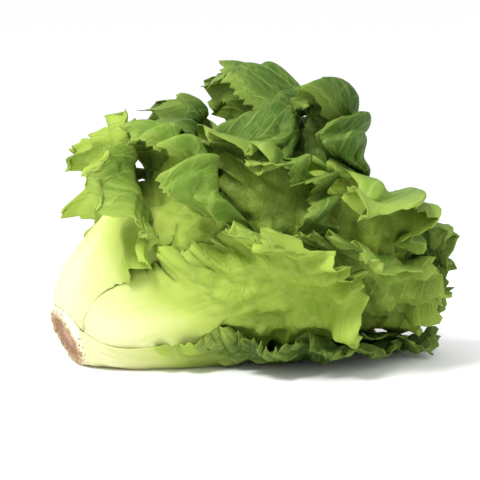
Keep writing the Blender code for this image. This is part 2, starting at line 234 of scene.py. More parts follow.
class Leaf:
    # one leaf's own numbers, and its shape from u, along it, and v, across it
    def __init__(self, number, rank, length, halfWidth, flare=0.0, rows=coarseRows, columns=coarseColumns):
        draw = np.random.default_rng(100 + number)
        self.number = number
        self.rank = rank
        turned = head["firstAzimuth"] + head["turn"] * number + nudges.get(number, 0.0)
        self.azimuth = math.radians(turned)
        self.start = head["innerStart"] + (head["outerStart"] - head["innerStart"]) * rank
        self.length = length
        self.halfWidth = halfWidth
        self.flare = math.radians(flare)
        self.phases = draw.uniform(0, 2 * math.pi, (3, 2))
        self.pace = draw.uniform(0.85, 1.2, 2)
        self.sway = draw.uniform(-0.10, 0.10)
        self.rows = rows
        self.columns = np.array(columns)
        self.teeth = draw.uniform(0.3, 1.0, (rows + 1, 2))

    def halfWidthAt(self, u):
        share = form["innermostStalk"] + (1 - form["innermostStalk"]) * self.rank ** form["stalkGain"]
        stalk = form["stalkHalfWidth"] * share * (1 - form["stalkNarrowing"] * smoothstep(0.12, 0.6, u))
        later = 1 - self.rank
        widening = smoothstep(0.06 + 0.20 * later, 0.72 + 0.12 * later, u)
        return stalk + self.halfWidth * widening * (1 - form["tipNarrowing"] * smoothstep(0.8, 1.0, u))

    def ribHeight(self, u, v):
        share = form["innermostRib"] + (1 - form["innermostRib"]) * self.rank
        rib = form["ribThick"] * share * (1 - smoothstep(0.1, 0.9, u)) ** 0.8
        wide = 0.75 - 0.6 * smoothstep(0.05, 0.6, u)
        return rib * np.exp(-2 * (v / wide) ** 2)

    def ruffle(self, u, v):
        edge = np.abs(v)
        side = (v > 0).astype(int)
        turns = 2 * math.pi * u
        wide = form["wideWave"] * edge**1.6 * np.sin(2.3 * self.pace[0] * turns + self.phases[0][side])
        fine = form["fineWave"] * edge**3 * np.sin(5.1 * self.pace[1] * turns + self.phases[1][side])
        tip = form["tipWave"] * u**4 * np.sin(2.2 * math.pi * v + self.phases[2][0])
        return smoothstep(0.22, 0.55, u) * (wide + fine) + tip

    def coarseTeeth(self, u, v):
        turnOut = alternating(len(u)) * smoothstep(0.25, 0.5, u[:, 0])
        teeth = np.zeros_like(u)
        teeth[:, 0] = -form["tooth"] * turnOut * self.teeth[:, 0]
        teeth[:, -1] = form["tooth"] * turnOut * self.teeth[:, 1]
        return teeth

    def place(self, u, v, teeth, tipTeeth):
        # azimuth, reach and natural lean of each point, with teeth across the leaf and along it
        reach = self.start + self.length * (u - form["tipRounding"] * u**2 * v**2)
        middle = rankLean(reach, self.rank) + self.flare * smoothstep(0.3, 1.0, u) ** 1.5
        ring = reach * np.sin(np.maximum(middle, math.radians(9)))
        azimuth = self.azimuth + self.sway * u**2 + (v * self.halfWidthAt(u) + teeth) / ring
        curl = (form["curl"] * smoothstep(0.35, 1.0, u) - form["hug"]) * v**2
        return azimuth, reach + tipTeeth, middle + curl + self.ruffle(u, v) / reach

    def coarseGrid(self):
        u, v = np.meshgrid(np.linspace(0, 1, self.rows + 1), self.columns, indexing="ij")
        tipTeeth = np.zeros_like(u)
        turnOut = alternating(len(self.columns))
        tipTeeth[-1] = turnOut * form["tipTooth"] * min(1.0, self.length / leafLengths[0])
        azimuth, reach, lean = self.place(u, v, self.coarseTeeth(u, v), tipTeeth)
        return azimuth, reach, lean, form["bladeThick"] + self.ribHeight(u, v)


class Room:
    # the greatest lean still free at each azimuth and reach
    azimuthSteps = 144
    reachStep = 0.003

    def __init__(self):
        azimuths = np.linspace(-math.pi, math.pi, self.azimuthSteps, endpoint=False)
        self.reaches = np.arange(0.5 * head["outerStart"], 0.300, self.reachStep)
        self.lean = surfaceLean(*np.meshgrid(azimuths, self.reaches, indexing="ij"))

    def placeOf(self, azimuth, reach):
        column = (azimuth + math.pi) / (2 * math.pi / self.azimuthSteps)
        row = (reach - self.reaches[0]) / self.reachStep
        return column, np.clip(row, 0, len(self.reaches) - 1.001)

    def cellOf(self, azimuth, reach):
        column, row = self.placeOf(azimuth, reach)
        return np.round(column).astype(int) % self.azimuthSteps, np.round(row).astype(int)

    @staticmethod
    def spread(values, combine):
        aroundHead = combine(np.roll(values, 1, 0), values, np.roll(values, -1, 0))
        padded = np.pad(aroundHead, ((0, 0), (1, 1)), mode="edge")
        return combine(padded[:, :-2], aroundHead, padded[:, 2:])

    def lowestNear(self, distance):
        lean = self.lean
        for _ in range(distance):
            lean = self.spread(lean, lambda a, b, c: np.minimum(np.minimum(a, b), c))
        return lean

    def smoothLean(self, azimuth, reach, distance=3):
        lean = self.lowestNear(distance)
        for _ in range(3):
            lean = self.spread(lean, lambda a, b, c: (a + b + c) / 3)
        column, row = self.placeOf(azimuth, reach)
        c, r = np.floor(column).astype(int), np.floor(row).astype(int)
        over, along = column - c, row - r
        first, second = c % self.azimuthSteps, (c + 1) % self.azimuthSteps
        near = lean[first, r] * (1 - over) + lean[second, r] * over
        far = lean[first, r + 1] * (1 - over) + lean[second, r + 1] * over
        return near * (1 - along) + far * along


def sheetTriangles(rows, columns):
    number = np.arange(rows * columns).reshape(rows, columns)
    a, b = number[:-1, :-1].ravel(), number[:-1, 1:].ravel()
    c, d = number[1:, 1:].ravel(), number[1:, :-1].ravel()
    return np.concatenate([np.stack([a, b, c], 1), np.stack([a, c, d], 1)])


def rimLoop(rows, columns):
    number = np.arange(rows * columns).reshape(rows, columns)
    return np.concatenate([number[0, :-1], number[:-1, -1], number[-1, :0:-1], number[:0:-1, 0]])


def rimTriangles(rows, columns):
    loop = rimLoop(rows, columns)
    following = np.roll(loop, -1)
    second = rows * columns
    lower = np.stack([following, loop, loop + second], 1)
    upper = np.stack([following, loop + second, following + second], 1)
    return np.concatenate([lower, upper])


# Places spread over each triangle, by the weights of its corners, where room for it is looked for
spotSteps = 6
spotWeights = np.array(
    [(i, j, spotSteps - i - j) for i in range(spotSteps + 1) for j in range(spotSteps + 1 - i)]
) / spotSteps


def coarseShell(azimuth, reach, lean, thick):
    inner = headPoint(azimuth, lean, reach)
    outer = headPoint(azimuth, lean + thick / reach, reach)
    outer[..., 2] = np.maximum(outer[..., 2], head["pressedFlat"])
    inner[..., 2] = np.maximum(inner[..., 2], head["pressedFlat"] + 0.8 * form["bladeThick"])
    points = np.concatenate([inner.reshape(-1, 3), outer.reshape(-1, 3)])
    sheet = sheetTriangles(*azimuth.shape)
    return points, np.concatenate([sheet, sheet[:, ::-1] + azimuth.size, rimTriangles(*azimuth.shape)])


def pressIntoRoom(grid, room):
    azimuth, reach, natural, thick = grid
    free = room.smoothLean(azimuth, reach) - (thick + head["clearance"]) / reach
    soft = head["clearance"] / reach
    lean = -soft * np.logaddexp(-natural / soft, -free / soft)
    corners = sheetTriangles(*azimuth.shape)
    spotAzimuth, spotReach, spotThick = (
        values.ravel()[corners] @ spotWeights.T for values in (azimuth, reach, thick)
    )
    cells = room.cellOf(spotAzimuth, spotReach)
    spotFree = room.lowestNear(1)[cells] - (spotThick + head["clearance"]) / spotReach
    for _ in range(head["pressRounds"]):
        tooFar = np.maximum((lean.ravel()[corners] @ spotWeights.T - spotFree).max(axis=1), 0)
        push = np.zeros(lean.size)
        for corner in range(3):
            np.maximum.at(push, corners[:, corner], tooFar)
        lean = np.maximum(lean - push.reshape(lean.shape), leastLean)
    return lean, cells


def layLeaf(leaf, room, laid):
    # the leaf's pressed lean, clear of the leaves laid before it, and the points of its coarse shell
    azimuth, reach, natural, thick = grid = leaf.coarseGrid()
    lean, cells = pressIntoRoom(grid, room)
    for _ in range(head["clearRounds"]):
        points, faces = coarseShell(azimuth, reach, lean, thick)
        tree = BVHTree.FromPolygons(points.tolist(), faces.tolist())
        touching = {face for other in laid for face, _ in tree.overlap(other)}
        if not touching:
            break
        moved = np.unique(faces[sorted(touching)] % lean.size)
        lean.ravel()[moved] -= head["clearStep"] / reach.ravel()[moved]
        lean = np.maximum(lean, leastLean)
    spotLean = lean.ravel()[sheetTriangles(*azimuth.shape)] @ spotWeights.T
    np.minimum.at(room.lean, cells, spotLean)
    laid.append(tree)
    return lean, points


def smoothAlong(wanted, knots, values):
    # values given at the knots along their first axis, read smoothly at the wanted places
    slopes = np.gradient(values, knots, axis=0)
    first = np.clip(np.searchsorted(knots, wanted, "right") - 1, 0, len(knots) - 2)
    span = knots[first + 1] - knots[first]
    t = ((wanted - knots[first]) / span)[:, None]
    span = span[:, None]
    start = (1 + 2 * t) * (1 - t) ** 2 * values[first] + t * (1 - t) ** 2 * span * slopes[first]
    end = t**2 * (3 - 2 * t) * values[first + 1] + t**2 * (t - 1) * span * slopes[first + 1]
    return start + end


def toothLine(draw, distance, length):
    # pointed teeth of uneven size along an edge, as their height at each distance along it
    low, high = detail["toothSpacing"]
    knots, heights, at = [0.0], [0.0], 0.0
    while at < length:
        wide = draw.uniform(low, high)
        tall = wide * draw.uniform(*detail["toothHeight"])
        knots += [at + wide * draw.uniform(*detail["toothPeak"]), at + wide]
        heights += [tall, wide * draw.uniform(*detail["toothValley"])]
        at += wide
    onRows = distance[np.minimum(np.searchsorted(distance, knots), len(distance) - 1)]
    return np.interp(distance, onRows, heights)  # each point falls on a row, and stays sharp


def wingLine(draw, distance, low, high):
    # small lobes at the side of a rib, between two distances along it
    line, at = np.zeros_like(distance), low + draw.uniform(0, detail["wingStagger"])
    while at < high:
        wide = draw.uniform(*detail["wingLength"])
        share = np.clip((distance - at) / wide, 0, 1)
        line = np.maximum(line, draw.uniform(0.5, 1.0) * np.sin(math.pi * share**1.6))
        at += wide + draw.uniform(*detail["wingGap"])
    return line


def waves(draw, x, y, lengths, count):
    # a smooth uneven field over the leaf, from many plane waves, between about -1 and 1
    total = np.zeros_like(x)
    for _ in range(count):
        k = 2 * math.pi / draw.uniform(*lengths)
        angle = draw.uniform(0, 2 * math.pi)
        total += np.sin(k * (x * math.cos(angle) + y * math.sin(angle)) + draw.uniform(0, 2 * math.pi))
    return total / math.sqrt(count)


def rolled(distance, curvature, greatest):
    # how far a sheet gets along and out when it leaves its plane along an arc, straight after it
    curvature = np.where(np.abs(curvature) < 0.01, 0.01, curvature)
    turn = np.clip(distance * curvature, -greatest, greatest)
    rest = distance - turn / curvature
    along = np.sin(turn) / curvature + rest * np.cos(turn)
    return along, (1 - np.cos(turn)) / curvature + rest * np.sin(turn), turn


def fineLeaf(leaf, coarseLean, outside, rows, columns):
    # the fine sheet's inner and outer points, and what its colours need at each of them
    draw = np.random.default_rng(500 + leaf.number)
    flap, bend, turn, slant = tipFolds.get(leaf.number, usualFold)
    scale = min(1.0, leaf.length / leafLengths[0])
    end = 1 + flap / leaf.length
    uLine = np.linspace(0, end, rows + 1)
    spacing = np.linspace(-1, 1, columns + 1)
    vLine = np.sign(spacing) * (1 - (1 - np.abs(spacing)) ** detail["edgeCrowding"])
    u, v = np.meshgrid(uLine, vLine, indexing="ij")
    foldFrom = 1 - 0.8 * bend / leaf.length - slant * (1 - v) / 2  # where the tip starts to bend

    # the coarse leaf's pressed lean, read smoothly on the fine sheet
    onLeaf = np.minimum(uLine, 1.0)
    lean = smoothAlong(onLeaf, np.linspace(0, 1, leaf.rows + 1), coarseLean)
    lean = smoothAlong(vLine, leaf.columns, lean.T).T

    # the fine sheet's half width
    edge, side = np.abs(v), np.sign(v)
    along = leaf.length * u
    onSheet = np.minimum(u, 1.0)
    atBulb = smoothstep(0.0, 0.12, u) * (1 - smoothstep(0.3, 0.6, u))
    half = leaf.halfWidthAt(onSheet) * (1 + stalkSpreads.get(leaf.number, 0.0) * atBulb)
    narrowing = detail["tipNarrowing"] * smoothstep(0.80, 1.0, u / end) ** 1.5
    half = half * (1 - narrowing * (flap > detail["narrowedFlap"]))

    # teeth along both edges, on top of the coarse ones, and over the tip
    coarseU = np.linspace(0, 1, leaf.rows + 1)
    lobes = leaf.coarseTeeth(*np.meshgrid(coarseU, leaf.columns, indexing="ij"))
    atEdge = smoothstep(0.72, 1.0, edge) * smoothstep(0.2, 0.4, u)
    left = np.interp(uLine, coarseU, lobes[:, 0]) - toothLine(draw, uLine * leaf.length, 2 * leaf.length)
    right = np.interp(uLine, coarseU, lobes[:, -1]) + toothLine(draw, uLine * leaf.length, 2 * leaf.length)
    teeth = atEdge * np.where(v < 0, -left[:, None], right[:, None]) * scale
    tipDistance = (vLine + 1) * form["bladeHalfWidth"]
    tipLine = toothLine(draw, tipDistance, tipDistance[-1])
    tipLobes = alternating(len(leaf.columns)) * form["tipTooth"]
    tipLine = (tipLine + np.interp(vLine, leaf.columns, tipLobes)) * scale
    tipTeeth = smoothstep(0.94, 1.0, u / end) * tipLine[None, :]

    # green lobes beside the ribs
    wings = [wingLine(draw, along[:, 0], *detail["wingPlaces"]) for _ in range(2)]
    wing = np.where(v < 0, wings[0][:, None], wings[1][:, None]) * (leaf.rank > detail["wingRank"])
    wing = wing * (1 - smoothstep(*detail["wingEnd"], along))
    wingOut = detail["wing"] * wing * smoothstep(0.72, 1.0, edge)

    # frills along the edges: waves in depth and, a quarter turn behind, along the edge
    bladeStart = bladeStarts.get(leaf.number, usualBladeStart)
    blade = smoothstep(bladeStart, bladeStart + detail["bladeGrowth"], u)
    edgePlace = side * 0.3  # so far apart that the waves of the two edges differ
    rollMean, rollVaries = detail["rollUneven"]
    rollWaves = waves(draw, along, edgePlace, detail["rollUnevenLength"], 4)
    rollHere = np.clip(rollMean + rollVaries * rollWaves, *detail["rollLimits"])
    pace = 2 * math.pi / detail["frillLength"]
    drift = detail["frillDrift"] * waves(draw, along, edgePlace, detail["frillDriftLength"], 4)
    phase = pace * along + drift + np.where(v < 0, 0.0, detail["frillSides"])
    frillMean, frillVaries = detail["frillUneven"]
    uneven = frillMean + frillVaries * waves(draw, along, edgePlace, detail["frillUnevenLength"], 4)
    frillHeight = detail["frillHeight"] * frillShares.get(leaf.number, 1.0) * scale
    frill = frillHeight * edge ** detail["frillRise"] * blade * uneven
    smallFrill = detail["smallFrill"] * edge**6 * blade * np.sin(detail["smallFrillPace"] * phase + 1.3)
    wave = frill * np.sin(phase) + smallFrill

    # margins that roll outwards in places, and carry their teeth and frills round with them
    curvature = detail["roll"] * rollShares.get(leaf.number, 1.0) * rollHere * blade
    margin = np.maximum(edge - detail["rollStart"], 0) * half
    across, outwards, turned = rolled(margin + teeth + wingOut, curvature, detail["rollGreatest"])
    shift = side * (across - wave * np.sin(turned) - margin)
    depth = outwards + wave * np.cos(turned) + detail["wingRaise"] * wingOut

    # the tip folds over in the same way
    spread = leaf.halfWidthAt(onSheet)
    azimuth = leaf.place(onSheet, v, shift + v * (half - spread), 0)[0]
    reach = leaf.place(np.minimum(u, foldFrom), v, 0, 0)[1]
    tipWave = frillHeight * smoothstep(0.7, 1.0, u / end) ** 2 * (1 - edge**4)
    tipWave = tipWave * np.sin(pace * v * half + draw.uniform(0, 2 * math.pi))
    overFold = np.maximum(u - foldFrom, 0) * leaf.length + tipTeeth
    past, foldOut, turned = rolled(overFold, 1 / bend, math.radians(turn))
    reach += past - tipWave * np.sin(turned) + detail["frillAlong"] * frill * np.cos(phase)
    depth += foldOut + tipWave * np.cos(turned)
    depth += tipShifts.get(leaf.number, 0.0) * smoothstep(0.4, 1.0, u)

    # blisters and crumples of the soft blade, thin margins, and ridges along the rib
    fromRib = v * half + shift
    fleshy = leaf.ribHeight(onSheet, v) / form["ribThick"]
    soft = blade * (1 - np.clip(2 * fleshy, 0, 1))
    blisters = waves(draw, v * half, along, detail["blisterLength"], detail["blisterWaves"])
    crumples = waves(draw, v * half, along, detail["crumpleLength"], detail["crumpleWaves"])
    depth += detail["blister"] * soft * blisters
    depth += detail["crumple"] * soft * crumples
    thin = np.maximum(smoothstep(0.7, 1.0, edge) * np.maximum(blade, wing), smoothstep(0.85, 1.0, u / end))
    thick = form["bladeThick"] + (detail["marginThick"] - form["bladeThick"]) * thin
    ridges = detail["ridge"] * np.cos(2 * math.pi * fromRib / detail["ridgeSpacing"] + 2 * leaf.phases[0][0])
    thick = thick + leaf.ribHeight(onSheet, v) + ridges * (1 - smoothstep(0.2, 0.55, u)) * (1 - edge**4)

    # nothing passes through the leaves outside it, as finely as these are made
    natural = lean + depth / reach
    limit = outside.smoothLean(azimuth, reach, 2)
    nearer = outside.smoothLean(azimuth, reach, 1)
    free = limit - (thick + detail["gap"]) / reach
    softness = detail["softness"] / reach
    lean = np.maximum(-softness * np.logaddexp(-natural / softness, -free / softness), leastLean)
    np.minimum.at(outside.lean, outside.cellOf(azimuth, reach), lean)

    # near the cut the ribs are swollen up to the outermost leaves
    room = (np.minimum(nearer, rankLean(reach, 1.0)) - lean) * reach - thick
    nearCut = 1 - smoothstep(*detail["swellEnd"], reach)
    swollen = detail["swell"] * np.clip(room, 0, detail["swellGreatest"]) * nearCut * (1 - edge**10)
    thick = thick + swollen * smoothstep(*detail["swellRanks"], leaf.rank)

    # the outer side stands square off the inner one, by the leaf's thickness
    inner = headPoint(azimuth, lean, reach)
    alongStep = np.gradient(inner, axis=0)
    acrossStep = np.gradient(inner, axis=1)
    normal = np.cross(alongStep, acrossStep)
    normal /= np.linalg.norm(normal, axis=-1, keepdims=True) + 1e-12
    outward = headPoint(azimuth, lean + 0.001 / reach, reach) - inner
    facing = np.sign((normal * outward)[: rows // 2].sum())  # the same side all along, folds too
    outer = inner + facing * normal * thick[..., None]
    outer[..., 2] = np.maximum(outer[..., 2], head["pressedFlat"])
    inner[..., 2] = np.maximum(inner[..., 2], head["pressedFlat"] + 0.4 * form["bladeThick"])
    facts = {
        "grown": leaf.start + along,
        "sheet": np.stack([v * half, along, np.zeros_like(u)], axis=-1),
        "edge": np.maximum(smoothstep(0.8, 1.0, edge) * blade, smoothstep(0.93, 1.0, u / end)),
        "fleshy": np.clip(fleshy * 2, 0, 1),
        "wing": wing * smoothstep(0.66, 0.9, edge),
    }
    return inner, outer, facts


leafFacts = ("grown", "sheet", "edge", "fleshy", "wing", "inside")


def leafMesh(name, sheets):
    # one mesh of closed thin leaves, each from its inner and outer points
    points, quads, flat, columns = [], [], [], {key: [] for key in leafFacts}
    base = 0
    for inner, outer, facts in sheets:
        rows, wide = inner.shape[:2]
        size = rows * wide
        number = np.arange(size).reshape(rows, wide)
        a, b, c, d = number[:-1, :-1], number[:-1, 1:], number[1:, 1:], number[1:, :-1]
        sheet = np.stack([a, b, c, d], axis=-1).reshape(-1, 4)
        loop = rimLoop(rows, wide)
        following = np.roll(loop, -1)
        rim = np.stack([following, loop, loop + size, following + size], 1)
        points += [inner.reshape(-1, 3), outer.reshape(-1, 3)]
        quads += [sheet + base, sheet[:, ::-1] + size + base, rim + base]
        flat += [np.zeros(2 * len(sheet), bool), np.ones(len(rim), bool)]
        for key, values in facts.items():
            values = values.reshape(size, -1)
            columns[key] += [values, values]
        columns["inside"] += [np.ones((size, 1)), np.zeros((size, 1))]
        base += 2 * size
    mesh = bpy.data.meshes.new(name)
    points = np.concatenate(points) + frameShift
    mesh.from_pydata(points.tolist(), [], np.concatenate(quads).tolist())
    for key, values in columns.items():
        values = np.concatenate(values).astype(np.float32)
        kind, field = ("FLOAT_VECTOR", "vector") if values.shape[1] == 3 else ("FLOAT", "value")
        mesh.attributes.new(key, kind, "POINT").data.foreach_set(field, values.ravel())
    mesh.polygons.foreach_set("use_smooth", ~np.concatenate(flat))
    if volumeOf(points, np.concatenate(quads)) < 0:
        mesh.flip_normals()
    mesh.update()
    return mesh


def volumeOf(points, quads):
    a, b, c, d = (points[quads[:, i]] for i in range(4))
    return (np.einsum("ij,ij->i", a, np.cross(b, c)) + np.einsum("ij,ij->i", a, np.cross(c, d))).sum() / 6


def addPiece(name, mesh, node, look):
    made = bpy.data.objects.new(name, mesh)
    bpy.context.scene.collection.objects.link(made)
    mesh.materials.append(look)
    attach(made, "root")
    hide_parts(node)


# Shader maths as plain expressions: a Wire is one socket's value, a number or a vector
class Wire:
    def __init__(self, tree, socket):
        self.tree = tree
        self.socket = socket

    def combine(self, operation, first, second):
        both = [value for value in (first, second) if isinstance(value, Wire)]
        vector = any(wire.socket.type in ("VECTOR", "RGBA") for wire in both)
        values = {}
        for place, value in enumerate((first, second)):
            alone = vector and not isinstance(value, (Wire, tuple))
            values[place] = (value,) * 3 if alone else value
        kind = "ShaderNodeVectorMath" if vector else "ShaderNodeMath"
        return makeNode(self.tree, kind, {"operation": operation}, values)

    def __add__(self, other):
        return self.combine("ADD", self, other)

    def __radd__(self, other):
        return self.combine("ADD", other, self)

    def __sub__(self, other):
        return self.combine("SUBTRACT", self, other)

    def __rsub__(self, other):
        return self.combine("SUBTRACT", other, self)

    def __mul__(self, other):
        return self.combine("MULTIPLY", self, other)

    def __rmul__(self, other):
        return self.combine("MULTIPLY", other, self)

    def __truediv__(self, other):
        return self.combine("DIVIDE", self, other)

    def __rtruediv__(self, other):
        return self.combine("DIVIDE", other, self)

    def lowest(self, other):
        return self.combine("MINIMUM", self, other)

    def size(self):
        return self.combine("ABSOLUTE", self, 0.0)

    def fraction(self):
        return self.combine("FRACT", self, 0.0)

    def step(self, low, high):
        # 0 below low, 1 above high and smooth between them
        values = {"Value": self, "From Min": low, "From Max": high}
        return makeNode(self.tree, "ShaderNodeMapRange", {"interpolation_type": "SMOOTHSTEP"}, values)

    def part(self, index):
        return makeNode(self.tree, "ShaderNodeSeparateXYZ", {}, {"Vector": self}, index)

    def blend(self, first, second):
        # the first colour where this is 0, the second where it is 1
        values = {"Factor": self, 6: first, 7: second}
        return makeNode(self.tree, "ShaderNodeMix", {"data_type": "RGBA"}, values, 2)


def setInput(tree, socket, value):
    if isinstance(value, Wire):
        tree.links.new(value.socket, socket)
    elif isinstance(value, tuple) and socket.type == "RGBA" and len(value) == 3:
        socket.default_value = (*value, 1.0)
    else:
        socket.default_value = value


def makeNode(tree, kind, settings, values, output=0):
    # the values are numbers, colours or Wires, by the name or the place of their sockets
    made = tree.nodes.new(kind)
    for name, value in settings.items():
        setattr(made, name, value)
    for name, value in values.items():
        setInput(tree, made.inputs[name], value)
    return Wire(tree, made.outputs[output])


def attribute(tree, name, vector=False):
    return makeNode(tree, "ShaderNodeAttribute", {"attribute_name": name}, {}, 1 if vector else 2)


def noise(tree, at, size, steps=3.0, roughness=0.55):
    values = {"Vector": at, "Scale": 1 / size, "Detail": steps, "Roughness": roughness}
    return makeNode(tree, "ShaderNodeTexNoise", {}, values)


def newMaterial(name):
    made = bpy.data.materials.new(name)
    made.use_nodes = True
    tree = made.node_tree
    return made, tree, tree.nodes["Principled BSDF"]


def paint(tree, skin, look, colour, rough, height):
    # the skin's colour, roughness and bumps, of which it gives back the normal
    values = {"Strength": look["bump"], "Distance": look["bumpHeight"], "Height": height}
    bump = makeNode(tree, "ShaderNodeBump", {}, values)
    for socket, value in (("Base Color", colour), ("Roughness", rough), ("Normal", bump)):
        setInput(tree, skin.inputs[socket], value)
    return bump


# Colours of the leaves, linear
leafLook = {
    "cream": (0.74, 0.73, 0.42),
    "paleGreen": (0.50, 0.60, 0.125),
    "outerGreen": (0.315, 0.455, 0.048),
    # the inner face's own deeper green, made darker still as painted shade for the hollows between leaves
    "innerGreenAndShade": (0.130, 0.255, 0.026),
    # deep green: partly the leaves' own darker green, partly painted shade
    "deepGreenAndShade": (0.035, 0.092, 0.013),
    "veinGreen": (0.43, 0.56, 0.13),
    # the thin margins' own paler green, lightened further as a painted highlight on the rims
    "edgeGreenAndHighlight": (0.44, 0.57, 0.10),
    "wingGreen": (0.37, 0.51, 0.075),
    "creamEnd": 0.082,  # from the cut, in metres
    "greenEnd": 0.140,
    "veinSpacing": 0.013,
    "veinWidth": 0.0007,
    "veinSlope": 0.85,
    "veinBend": 0.016,
    "veinBendSize": 0.022,
    "netSize": 0.0045,
    "patchSize": 0.030,
    "mottleSize": 0.006,
    "streakSize": 0.0045,
    "roughness": 0.46,
    "gloss": 0.12,
    "bump": 0.6,
    "bumpHeight": 0.0012,
    "translucence": 0.20,
}


def leafMaterial(name, depth=0.0):
    # depth runs from 0, a pale outer leaf, to 1, a deep green one; the deep green is partly the leaf's own
    # colour and partly painted shade on leaves that lie in shadow
    look = leafLook
    made, tree, skin = newMaterial(name)
    grown, edge = attribute(tree, "grown"), attribute(tree, "edge")
    fleshy, inside = attribute(tree, "fleshy"), attribute(tree, "inside")
    wing = attribute(tree, "wing")
    sheet = attribute(tree, "sheet", vector=True)
    across, up = sheet.part(0), sheet.part(1)
    patches = noise(tree, sheet, look["patchSize"])
    mottle = noise(tree, sheet, look["mottleSize"], 4.0, 0.6)

    # veins leave the rib on both sides and bend towards the tip, with a fine net between them
    bend = noise(tree, sheet, look["veinBendSize"], 2.0)
    run = (up - across.size() * look["veinSlope"] + bend * look["veinBend"]) / look["veinSpacing"]
    offVein = (run.fraction() - 0.5).size() * look["veinSpacing"]
    vein = 1 - (offVein / look["veinWidth"]).step(0.3, 1.6)
    cells = {"Vector": sheet, "Scale": 1 / look["netSize"], "Randomness": 0.9}
    net = makeNode(tree, "ShaderNodeTexVoronoi", {"feature": "DISTANCE_TO_EDGE"}, cells)
    netLine = 1 - net.step(0.0, 0.12)
    onBlade = grown.step(0.09, 0.15) * (1 - fleshy)
    vein = vein * onBlade
    netLine = netLine * onBlade

    # the blade's greens, mixed with the deep one, which is partly painted shade, the pale one, that of the
    # edges and that of the veins
    # inner faces take a darker green: partly their own colour, partly painted shade
    blade = inside.blend(look["outerGreen"], look["innerGreenAndShade"])
    # darker in random patches of the leaf's own tone, and by its depth, which is partly painted shade
    blade = (patches.step(0.40, 0.75) * 0.35 + depth * 0.9).lowest(1.0).blend(blade, look["deepGreenAndShade"])
    blade = (mottle.step(0.3, 0.75) * (0.25 - 0.18 * depth)).blend(blade, look["paleGreen"])
    # paler margins: partly their own colour, partly a painted highlight
    blade = (edge * (0.45 - 0.22 * depth)).blend(blade, look["edgeGreenAndHighlight"])
    blade = (vein * (0.32 - 0.14 * depth) + netLine * 0.13).lowest(1.0).blend(blade, look["veinGreen"])

    # cream near the cut, then pale green, then the blade, with pale streaks up the ribs
    growth = grown + (patches - 0.5) * 0.030 - fleshy * 0.018 + edge * 0.02
    colour = growth.step(look["creamEnd"] - 0.02, look["greenEnd"]).blend(look["paleGreen"], blade)
    colour = growth.step(look["creamEnd"] - 0.055, look["creamEnd"] + 0.010).blend(look["cream"], colour)
    streaks = noise(tree, sheet * (1.0, 0.08, 1.0), look["streakSize"], 3.0, 0.6)
    tint = streaks.step(0.42, 0.72) * grown.step(0.035, 0.085) * (1 - grown.step(0.13, 0.20))
    colour = (tint * 0.45).blend(colour, look["paleGreen"])
    colour = wing.step(0.15, 0.75).blend(colour, look["wingGreen"])

    height = vein * 0.5 + netLine * 0.25 + mottle * 0.35 + streaks * fleshy * 0.5
    rough = look["roughness"] + 0.12 * mottle - 0.08 * fleshy
    bump = paint(tree, skin, look, colour, rough, height)
    skin.inputs["Specular IOR Level"].default_value = look["gloss"]
    through = makeNode(tree, "ShaderNodeBsdfTranslucent", {}, {"Color": colour, "Normal": bump})
    share = look["translucence"] * (1 - 0.6 * fleshy)
    both = {0: share, 1: Wire(tree, skin.outputs[0]), 2: through}
    mixed = makeNode(tree, "ShaderNodeMixShader", {}, both)
    setInput(tree, tree.nodes["Material Output"].inputs["Surface"], mixed)
    return made


# The cut stem
stemLook = {
    "radius": 0.0225,
    "drop": 0.006,
    "slope": 0.11,  # the near side is cut deeper
    "sides": 128,
    "lump": 0.0006,
    "sideLump": 0.025,  # as a share of the distance from the middle
    "lumpLength": (0.004, 0.010),
    "grainLength": (0.002, 0.004),
    "skin": (0.93, 0.90, 0.62),
    "rim": (0.55, 0.38, 0.20),
    "wood": (0.36, 0.19, 0.105),
    "middle": (0.58, 0.34, 0.24),
    "speck": (0.085, 0.035, 0.016),
    "roughness": 0.62,
    "bump": 0.9,
    "bumpHeight": 0.002,
    "unevenSize": 0.006,
    "fineSize": 0.0015,
    "speckSize": 0.0026,
}


def stemMaterial():
    look = stemLook
    made, tree, skin = newMaterial("Stem")
    ring, face = attribute(tree, "ring"), attribute(tree, "face")
    place = makeNode(tree, "ShaderNodeTexCoord", {}, {}, 3)
    uneven = noise(tree, place, look["unevenSize"], 5.0, 0.65)
    fine = noise(tree, place, look["fineSize"], 4.0, 0.6)
    cells = {"Vector": place, "Scale": 1 / look["speckSize"], "Randomness": 1.0}
    spots = makeNode(tree, "ShaderNodeTexVoronoi", {}, cells)
    reach = ring + (uneven - 0.5) * 0.35
    wood = reach.step(0.20, 0.42).blend(look["middle"], look["wood"])
    wood = reach.step(0.60, 0.90).blend(wood, look["rim"])
    wood = (fine.step(0.45, 0.75) * 0.35).blend(wood, look["rim"])
    atRim = ring.step(0.55, 0.75) * (1 - ring.step(1.06, 1.20))
    speck = (1 - spots.step(0.16, 0.42)) * atRim * uneven.step(0.40, 0.50)
    colour = reach.step(0.90, 1.10).blend(wood, look["skin"])
    colour = face.blend(look["skin"], colour)
    colour = speck.blend(colour, look["speck"])
    paint(tree, skin, look, colour, look["roughness"], uneven + fine * 0.5)
    return made


